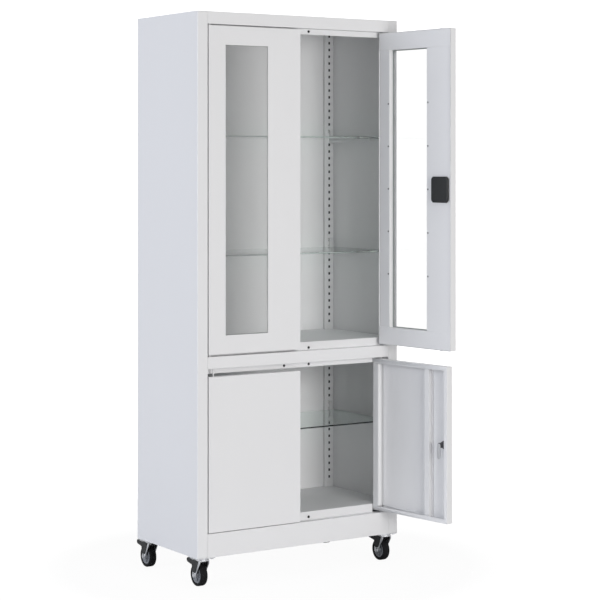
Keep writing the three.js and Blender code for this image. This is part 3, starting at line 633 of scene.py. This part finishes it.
def make_fastener_tree():
    inputs = {
        "Geometry": (GEOMETRY, None),
        "Sides": (INTEGER, 16),
        "Head Radius": (FLOAT, 0.004),
        "Taper": (FLOAT, 0.8),
        "Head Height": (FLOAT, 0.002),
        "Axis": (VECTOR, (0.0, 0.0, 1.0)),
        "Seed": (INTEGER, 7),
        "Material": (MATERIAL, None),
    }
    outputs = {"Geometry": GEOMETRY}
    tree, given, result = new_group("fastener_heads", "GeometryNodeTree", inputs, outputs)
    narrow = add_node(tree, "ShaderNodeMath", {"operation": "MULTIPLY"})
    tree.links.new(given["Head Radius"], narrow.inputs[0])
    tree.links.new(given["Taper"], narrow.inputs[1])
    head = add_node(tree, "GeometryNodeMeshCone", {"fill_type": "NGON"})
    tree.links.new(given["Sides"], head.inputs["Vertices"])
    tree.links.new(given["Head Radius"], head.inputs["Radius Bottom"])
    tree.links.new(narrow.outputs[0], head.inputs["Radius Top"])
    tree.links.new(given["Head Height"], head.inputs["Depth"])
    facing = add_node(tree, "FunctionNodeAlignRotationToVector", {"axis": "Z"})
    tree.links.new(given["Axis"], facing.inputs["Vector"])
    turn = add_node(tree, "FunctionNodeRandomValue", {"data_type": "FLOAT"})
    tree.links.new(given["Seed"], turn.inputs["Seed"])
    turn.inputs[3].default_value = math.tau
    spin = add_node(tree, "FunctionNodeAxisAngleToRotation", inputs={"Angle": turn.outputs[1]})
    spun = add_node(tree, "FunctionNodeRotateRotation", {"rotation_space": "LOCAL"})
    tree.links.new(facing.outputs[0], spun.inputs[0])
    tree.links.new(spin.outputs[0], spun.inputs[1])
    copies = add_node(tree, "GeometryNodeInstanceOnPoints", inputs={"Points": given["Geometry"]})
    tree.links.new(head.outputs["Mesh"], copies.inputs["Instance"])
    tree.links.new(spun.outputs[0], copies.inputs["Rotation"])
    real = add_node(tree, "GeometryNodeRealizeInstances", inputs={"Geometry": copies.outputs[0]})
    coat = add_node(tree, "GeometryNodeSetMaterial", inputs={"Geometry": real.outputs[0]})
    tree.links.new(given["Material"], coat.inputs["Material"])
    tree.links.new(coat.outputs[0], result["Geometry"])
    return tree


fastener_tree = make_fastener_tree()
print("geometry tree:", fastener_tree.name)

# %% Fastener helper
HEAD_SEED = 7


def grown(name, points, tree, values):
    """The mesh that a geometry tree grows from these points."""
    seeds = bpy.data.meshes.new(name + "_points")
    seeds.from_pydata([tuple(p) for p in points], [], [])
    items = tree.interface.items_tree
    sockets = {item.name: item.identifier for item in items if item.in_out == "INPUT"}

    def fill_inputs(modifier):
        modifier.node_group = tree
        for label, value in values.items():
            modifier[sockets[label]] = value

    return modified(name, seeds, "NODES", fill_inputs)


def fasteners(name, points, axis, body, slot, head, material=None):
    values = head | {"Axis": tuple(axis), "Seed": HEAD_SEED, "Material": material}
    put_piece(name, grown(name, points, fastener_tree, values), body, slot, material)
    print(name, "heads:", len(points))


# %% [markdown]
# ## Screws, bumpers, bolts and rivets
# A door's own frame starts on its hinge axis and is turned by the angle it stands open at rest.
# Distances run along the door from its hinge edge, and depths from its outer face.

# %% Door frames
HINGE_DEPTH = 8 * MM
UPPER_INSET = 8 * MM


def door_frame(door):
    joint = joint_of[door]
    open_angle = math.radians(-joint["range_deg"][0])
    return Matrix.Translation(Vector(joint["pos_m"])) @ Matrix.Rotation(open_angle, 4, "Z")


def on_door(door, inset, distance, depth, height):
    side = 1 if "left" in door else -1
    return door_frame(door) @ Vector((side * (distance - inset), depth - HINGE_DEPTH, height))


def inward(door):
    return door_frame(door).to_3x3() @ Vector((0, 1, 0))


# %% Retainer screws
SCREW_COLUMNS = (48.0 * MM, 248.8 * MM)
SCREW_MIDDLE = 1.310
SCREW_PITCH = 0.148
INNER_FACE = 24.5 * MM
SCREW_HEAD = {"Sides": 14, "Head Radius": 3.1 * MM, "Taper": 0.7, "Head Height": 1.4 * MM}
for door in UPPER_DOORS:
    places = [
        on_door(door, UPPER_INSET, column, INNER_FACE, SCREW_MIDDLE + step * SCREW_PITCH)
        for column in SCREW_COLUMNS for step in range(-2, 3)
    ]
    fasteners(door + "_screws", places, inward(door), door, "zinc", SCREW_HEAD, dark_steel_and_shade)

# %% Bumpers
BUMPER_FACE = -0.179
BUMPER_HEIGHTS = (1.850, 0.7115, 0.768, 0.188)
BUMPER_SIDE = 0.05
BUMPER_HEAD = {"Sides": 20, "Head Radius": 4.6 * MM, "Taper": 0.85, "Head Height": 2.0 * MM}
places = [(x, BUMPER_FACE, z) for z in BUMPER_HEIGHTS for x in (-BUMPER_SIDE, BUMPER_SIDE)]
fasteners("door_bumpers", places, (0, -1, 0), "carcass", "gasket", BUMPER_HEAD, bumper_rubber)

# %% Castor bolts
PLATE_UNDERSIDE = 97 * MM
BOLT_SPREAD = (26 * MM, 22 * MM)
BOLT_HEAD = {"Sides": 6, "Head Radius": 5 * MM, "Taper": 1.0, "Head Height": 4 * MM}
for place in CASTORS:
    axis = Vector(joint_of[place + "_swivel"]["pos_m"])
    places = [
        (axis.x + i * BOLT_SPREAD[0], axis.y + j * BOLT_SPREAD[1], PLATE_UNDERSIDE)
        for i in (-1, 1) for j in (-1, 1)
    ]
    fasteners(place + "_castor_bolts", places, (0, 0, -1), "carcass", "zinc", BOLT_HEAD)

# %% Rivets of the back
RIVET_COLUMN = 0.396
RIVET_STEP = 0.24
RIVET_FIRST = 0.21
RIVETS = 8
RIVET_HEAD = {"Sides": 14, "Head Radius": 3.6 * MM, "Taper": 0.55, "Head Height": 1.1 * MM}
back_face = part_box("left_side_panel")[1][1]
places = [
    (x, back_face, RIVET_FIRST + RIVET_STEP * k)
    for x in (-RIVET_COLUMN, RIVET_COLUMN) for k in range(RIVETS)
]
fasteners("back_rivets", places, (0, 1, 0), "carcass", "powder_coat", RIVET_HEAD)

# %% [markdown]
# ## Castor wheels
# A wheel is turned: a section is spun about its axle. The tyre has a rounded tread and bulging
# sides. The core is dished, with a hub and a rim. Six ribs that stand between them come from a
# second geometry tree, which copies one block round a circle.

# %% Turned wheels
WHEEL_STEPS = 56
TYRE_HALF = [
    (27.3, 10.6), (28.2, 11.6), (31.5, 12.7), (33.6, 12.9),
    (35.6, 12.0), (36.8, 10.2), (37.2, 7.6), (37.25, 4.0),
]
CORE_HALF = [
    (4.4, 15.4), (8.2, 15.4), (9.2, 14.6), (9.7, 8.0), (10.8, 6.4), (19.8, 5.6),
    (21.4, 6.6), (22.4, 10.0), (23.4, 10.9), (26.4, 10.9), (27.0, 10.3),
]


def turned(name, half, centre):
    """A half section, (radius, offset) in millimetres, mirrored and spun about X at the centre."""
    section = half + [(radius, -offset) for radius, offset in reversed(half)]
    rings = []
    for step in range(WHEEL_STEPS):
        angle = math.tau * (step + 0.5) / WHEEL_STEPS
        spoke = Vector((0, -math.sin(angle), -math.cos(angle)))
        for radius, offset in section:
            rings.append(centre + spoke * (radius * MM) + Vector((offset * MM, 0, 0)))
    count = len(section)
    faces = []
    for step in range(WHEEL_STEPS):
        here = step * count
        there = ((step + 1) % WHEEL_STEPS) * count
        for k in range(count):
            after = (k + 1) % count
            faces.append((here + k, here + after, there + after, there + k))
    mesh = bpy.data.meshes.new(name)
    mesh.from_pydata([tuple(p) for p in rings], [], faces)
    shape = bmesh.new()
    shape.from_mesh(mesh)
    bmesh.ops.recalc_face_normals(shape, faces=shape.faces)
    shape.to_mesh(mesh)
    shape.free()
    mesh.shade_smooth()
    mesh.set_sharp_from_angle(angle=SMOOTH_ANGLE)
    return mesh


for place in CASTORS:
    wheel = place + "_wheel"
    axle = Vector(joint_of[wheel]["pos_m"])
    tread = turned(wheel + "_tread", TYRE_HALF, axle)
    put_piece(tread.name, tread, wheel, "tyre", stands_for=[wheel + "_tyre"])
    centre = turned(wheel + "_centre", CORE_HALF, axle)
    put_piece(centre.name, centre, wheel, "grey_plastic", stands_for=[wheel + "_core"])
print("turned wheels:", len(CASTORS))

# %% Rib tree


def make_rib_tree():
    inputs = {
        "Geometry": (GEOMETRY, None),
        "Ribs": (INTEGER, 6),
        "Inner Radius": (FLOAT, 0.009),
        "Outer Radius": (FLOAT, 0.022),
        "Thickness": (FLOAT, 0.002),
        "Width": (FLOAT, 0.018),
        "Material": (MATERIAL, None),
    }
    outputs = {"Geometry": GEOMETRY}
    tree, given, result = new_group("wheel_ribs", "GeometryNodeTree", inputs, outputs)
    length = add_node(tree, "ShaderNodeMath", {"operation": "SUBTRACT"})
    tree.links.new(given["Outer Radius"], length.inputs[0])
    tree.links.new(given["Inner Radius"], length.inputs[1])
    halfway = {0: length.outputs[0], 1: 0.5, 2: given["Inner Radius"]}
    middle = add_node(tree, "ShaderNodeMath", {"operation": "MULTIPLY_ADD"}, halfway)
    size = add_node(tree, "ShaderNodeCombineXYZ", inputs={"X": length.outputs[0]})
    tree.links.new(given["Thickness"], size.inputs["Y"])
    tree.links.new(given["Width"], size.inputs["Z"])
    block = add_node(tree, "GeometryNodeMeshCube", inputs={"Size": size.outputs[0]})
    round_hub = {"Vertices": given["Ribs"], "Radius": middle.outputs[0]}
    circle = add_node(tree, "GeometryNodeMeshCircle", inputs=round_hub)
    spot = add_node(tree, "GeometryNodeInputPosition").outputs[0]
    facing = add_node(tree, "FunctionNodeAlignRotationToVector", {"axis": "X", "pivot_axis": "Z"})
    tree.links.new(spot, facing.inputs["Vector"])
    spokes = add_node(tree, "GeometryNodeInstanceOnPoints", inputs={"Points": circle.outputs[0]})
    tree.links.new(block.outputs["Mesh"], spokes.inputs["Instance"])
    tree.links.new(facing.outputs[0], spokes.inputs["Rotation"])
    quarter = {"Axis": (0.0, 1.0, 0.0), "Angle": math.pi / 2}
    upright = add_node(tree, "FunctionNodeAxisAngleToRotation", inputs=quarter)
    copies = add_node(tree, "GeometryNodeInstanceOnPoints", inputs={"Points": given["Geometry"]})
    tree.links.new(spokes.outputs[0], copies.inputs["Instance"])
    tree.links.new(upright.outputs[0], copies.inputs["Rotation"])
    real = add_node(tree, "GeometryNodeRealizeInstances", inputs={"Geometry": copies.outputs[0]})
    coat = add_node(tree, "GeometryNodeSetMaterial", inputs={"Geometry": real.outputs[0]})
    tree.links.new(given["Material"], coat.inputs["Material"])
    tree.links.new(coat.outputs[0], result["Geometry"])
    return tree


rib_tree = make_rib_tree()
RIB_SIZES = {"Ribs": 6, "Inner Radius": 9.3 * MM, "Outer Radius": 22 * MM}
RIB_SIZES |= {"Thickness": 2 * MM, "Width": 18.4 * MM}
for place in CASTORS:
    wheel = place + "_wheel"
    values = RIB_SIZES | {"Material": finishes["grey_plastic"]}
    ribs = grown(wheel + "_ribs", [joint_of[wheel]["pos_m"]], rib_tree, values)
    put_piece(wheel + "_ribs", ribs, wheel, "grey_plastic")
print("geometry tree:", rib_tree.name)

# %% [markdown]
# ## Dark fork plates and key slot
# A dark plate lies on the outer face of each leg of a castor fork above the axle, so the leg reads
# dark there, and leaves the bright front edge of the leg free. The key plug gets its slot as a dark
# bar let into its outer face; the bar's near black colour is painted shade of the slot's hollow.

# %% Dark fork plates
FORK_PLATE_OUTLINE = [
    (-9, 87.5), (3, 57), (8, 48), (13, 45.5), (25, 45.5),
    (29, 50), (33, 74), (33, 86.5), (17, 89.5),
]
FORK_PLATE_INNER = 18.9
FORK_PLATE_OUTER = 20.3


def fork_plate_mesh(name, axis):
    """Both dark plates of a fork, from points of (depth behind the axis, height) in millimetres."""
    shape = bmesh.new()
    for side in (-1, 1):
        x = axis.x + side * FORK_PLATE_INNER * MM
        ring = [shape.verts.new((x, axis.y + y * MM, z * MM)) for y, z in FORK_PLATE_OUTLINE]
        base = shape.faces.new(ring)
        raised = bmesh.ops.extrude_face_region(shape, geom=[base])["geom"]
        moved = [item for item in raised if isinstance(item, bmesh.types.BMVert)]
        bmesh.ops.translate(shape, verts=moved, vec=(side * (FORK_PLATE_OUTER - FORK_PLATE_INNER) * MM, 0, 0))
    bmesh.ops.recalc_face_normals(shape, faces=shape.faces)
    mesh = bpy.data.meshes.new(name)
    shape.to_mesh(mesh)
    shape.free()
    return mesh


for place in CASTORS:
    body = place + "_swivel"
    name = place + "_fork_cheeks"
    put_piece(name, fork_plate_mesh(name, Vector(joint_of[body]["pos_m"])), body, "black_plastic")
print("dark fork plates:", len(CASTORS))

# %% Key slot with painted shade
LOWER_INSET = 22 * MM
KEY_PLACE = (325 * MM, -2 * MM, 0.447)
KEY_SLOT = (1.4 * MM, 0.6 * MM, 6.5 * MM)


def key_slot_shade_mesh():
    door = "lower_right_door"
    shape = bmesh.new()
    bmesh.ops.create_cube(shape, size=1.0)
    bmesh.ops.scale(shape, vec=KEY_SLOT, verts=shape.verts)
    bmesh.ops.transform(shape, matrix=door_frame(door).to_3x3().to_4x4(), verts=shape.verts)
    bmesh.ops.translate(shape, vec=on_door(door, LOWER_INSET, *KEY_PLACE), verts=shape.verts)
    mesh = bpy.data.meshes.new("key_slot_shade")
    shape.to_mesh(mesh)
    shape.free()
    return mesh


# The bar's near black colour is painted shade in the hollow slot of the key plug.
put_piece("key_slot_shade", key_slot_shade_mesh(), "key_turn", "zinc", dark_steel_and_shade)
print("key slot on", body_of["key_lock_cam"])
